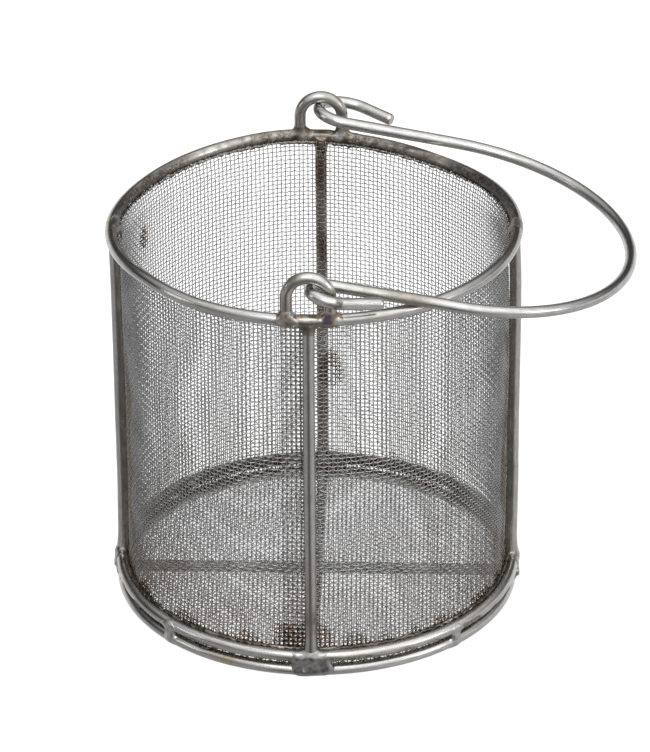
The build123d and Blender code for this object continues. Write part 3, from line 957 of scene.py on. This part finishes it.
def make_bars():
    """The bars under the bottom cloth, dull and darkened with painted shade from the cloth over them, and
    the fillets that hold them.
    """
    for number, name in enumerate(("bottom_bar_long", "bottom_bar_front", "bottom_bar_back")):
        low, high = box_mm(name)
        radius, middle = (high[2] - low[2]) / 2, (low + high) / 2
        lengthwise = int(np.argmax(high - low))
        share = np.linspace(0, 1, 160)
        path = np.repeat(middle[None], len(share), axis=0)
        path[:, lengthwise] = low[lengthwise] + share * (high - low)[lengthwise]
        shape = rod(path, (0, 0, 1), 90 + number, radius=radius - 0.04)
        # Painted shade: the bars lie under the bottom cloth, so they are darkened in the soot colours.
        soot_and_shade = 0.75 + 0.3 * lumps(shape[0], 9.0, 95)
        make_piece(f"{name}_rod", shape, "basket", rod_steel, [name], soot_and_shade)
    fillets = frame["nodes"]["bar_welds"].data.materials
    fillets.clear()
    fillets.append(weld_steel)


make_wall()
make_bottom()
make_bars()
make_rings()
make_ribs()
make_eyes()
make_bail()
make_welds()
make_mesh_beads()


# ---- floor, light and camera ----
FLOOR_HALF = 4.0


def make_floor():
    """A plain pale floor."""
    mesh = bpy.data.meshes.new("studio_floor")
    corners = [(-FLOOR_HALF, -FLOOR_HALF, 0), (FLOOR_HALF, -FLOOR_HALF, 0)]
    corners += [(FLOOR_HALF, FLOOR_HALF, 0), (-FLOOR_HALF, FLOOR_HALF, 0)]
    mesh.from_pydata(corners, [], [(0, 1, 2, 3)])
    floor = bpy.data.objects.new("studio_floor", mesh)
    bpy.context.scene.collection.objects.link(floor)
    n = Nodes(bpy.data.materials.new("pale_floor"))
    surface = {"Base Color": (0.35, 0.35, 0.35, 1), "Roughness": 0.9}
    glow = {"Emission Color": (1, 1, 1, 1), "Emission Strength": 0.85}
    shader = n.add("ShaderNodeBsdfPrincipled", surface | glow)
    n.add("ShaderNodeOutputMaterial", {"Surface": shader.outputs[0]})
    mesh.materials.append(n.owner)
    floor.visible_glossy = False


LAMP_TARGET = (0, 0, 0.08)  # in metres, as the lamps' places are


def make_light(name, place, size, watts):
    """A soft square lamp that looks at the basket."""
    data = bpy.data.lights.new(name, "AREA")
    data.shape = "SQUARE"
    data.size = size
    data.energy = watts
    lamp = bpy.data.objects.new(name, data)
    lamp.location = place
    lamp.rotation_mode = "QUATERNION"
    lamp.rotation_quaternion = (Vector(LAMP_TARGET) - Vector(place)).to_track_quat("-Z", "Y")
    bpy.context.scene.collection.objects.link(lamp)


# How bright the studio is above the table, from straight away from the big light overhead to at it.
STUDIO_LIGHT = [(0.0, 0.03), (0.5, 0.04), (0.6, 0.09), (0.7, 0.42), (0.8, 0.76), (0.88, 1.2), (1.0, 1.65)]
LIGHT_SIDE = (0.12, -0.35, 0.93)
GLOW_SIDE, GLOW_LIGHT = (0.55, -0.83, 0.10), 0.4  # a softer light low at the front, on the right
SCREEN_SIDE, SCREEN_LIGHT = (0.35, 0.94, 0.0), 0.9  # a white screen behind, up to a low height
TABLE_LIGHT = 0.42
TABLE_BEHIND = 0.6  # how much brighter the table is behind the basket
TABLE_FRONT = (-0.10, -0.87, -0.48)  # the table is in shadow at the front
TABLE_FRONT_SHADOW = 0.32
TABLE_RIGHT, TABLE_RIGHT_LIGHT = (0.85, -0.20, -0.48), 0.2


def make_world():
    """A white table; above it a big soft light, a glow at the front, a low screen and a dark room."""
    world = bpy.data.worlds.new("studio")
    n = Nodes(world)
    look = n.add("ShaderNodeTexCoord").outputs["Generated"]

    def towards(direction):
        """1 straight towards a direction, -1 straight away from it."""
        product = n.add("ShaderNodeVectorMath", {0: look, 1: direction}, operation="DOT_PRODUCT")
        return product.outputs["Value"]

    def remap(*limits):
        """A value, then its two limits, then what they become, with a smooth change between."""
        node = n.add("ShaderNodeMapRange", dict(enumerate(limits)), interpolation_type="SMOOTHSTEP")
        return node.outputs[0]

    share = n.add("ShaderNodeMapRange", {"Value": towards(LIGHT_SIDE), "From Min": -1.0})
    curve = n.add("ShaderNodeFloatCurve", {"Value": share.outputs[0]})
    points = curve.mapping.curves[0].points
    curve.mapping.use_clip = False
    while len(points) < len(STUDIO_LIGHT):
        points.new(0.5, 0.5)
    for point, (place_along, level) in zip(points, STUDIO_LIGHT):
        point.location = (place_along, level)
        point.handle_type = "AUTO"
    curve.mapping.update()

    height = towards((0, 0, 1))
    glow = remap(towards(GLOW_SIDE), 0.2, 0.9, 0.0, GLOW_LIGHT)
    screen = remap(towards(SCREEN_SIDE), -0.1, 0.5, 0.0, SCREEN_LIGHT)
    screen = n.maths("MULTIPLY", remap(height, 0.30, 0.12, 0.0, 1.0), screen)
    above = n.maths("ADD", curve.outputs[0], n.maths("ADD", glow, screen))
    table = remap(towards(TABLE_FRONT), 0.90, 0.985, TABLE_LIGHT, TABLE_LIGHT - TABLE_FRONT_SHADOW)
    table = n.maths("ADD", table, remap(towards((0, 1, 0)), 0.2, 0.9, 0.0, TABLE_BEHIND))
    table = n.maths("ADD", table, remap(towards(TABLE_RIGHT), 0.6, 0.95, 0.0, TABLE_RIGHT_LIGHT))
    horizon = remap(height, 0.03, -0.12, 0.0, 1.0)
    light = n.add("ShaderNodeMix", {"Factor": horizon, "A": above, "B": table})
    background = n.add("ShaderNodeBackground", {"Color": (1, 1, 1, 1), "Strength": light.outputs[0]})
    n.add("ShaderNodeOutputWorld", {"Surface": background.outputs[0]})
    bpy.context.scene.world = world
    bpy.context.scene.view_settings.view_transform = "Standard"


# Lengths are in millimetres; the shifts move the camera sideways and up without turning it.
CAMERA_ELEVATION = radians(28.74)
CAMERA_AZIMUTH = radians(1.9)
CAMERA_DISTANCE = 2143.9
CAMERA_ROLL = radians(-0.338)
CAMERA_SHIFT_RIGHT, CAMERA_SHIFT_UP = 3.5, 16.0
CAMERA_AIM_Z = 70.0
CAMERA_LENS = 264.7


def make_camera():
    """A long lens that looks down at the basket from in front, a little off square."""
    data = bpy.data.cameras.new("camera")
    data.lens = CAMERA_LENS
    data.clip_end = 20.0
    camera = bpy.data.objects.new("camera", data)
    c, s = cos(CAMERA_AZIMUTH), sin(CAMERA_AZIMUTH)
    spin = np.array([[c, -s, 0], [s, c, 0], [0, 0, 1]])
    forward = spin @ np.array([0, cos(CAMERA_ELEVATION), -sin(CAMERA_ELEVATION)])
    right = spin @ np.array([1.0, 0, 0])
    up = spin @ np.array([0, sin(CAMERA_ELEVATION), cos(CAMERA_ELEVATION)])
    aim = np.array([0, 0, CAMERA_AIM_Z])
    place = aim - forward * CAMERA_DISTANCE + right * CAMERA_SHIFT_RIGHT + up * CAMERA_SHIFT_UP
    rolled_right = right * cos(CAMERA_ROLL) + up * sin(CAMERA_ROLL)
    rolled_up = -right * sin(CAMERA_ROLL) + up * cos(CAMERA_ROLL)
    turn = Matrix(np.stack([rolled_right, rolled_up, -forward], axis=-1).tolist()).to_4x4()
    camera.matrix_world = Matrix.Translation(Vector(place * METRES)) @ turn
    bpy.context.scene.collection.objects.link(camera)
    bpy.context.scene.camera = camera


make_floor()
make_light("key_front", (-0.2, -1.4, 1.6), 0.8, 7)
make_light("side_left", (-1.6, -0.5, 0.5), 0.5, 1.5)
make_light("side_right", (1.5, -0.7, 0.6), 0.5, 3)
make_world()
make_camera()
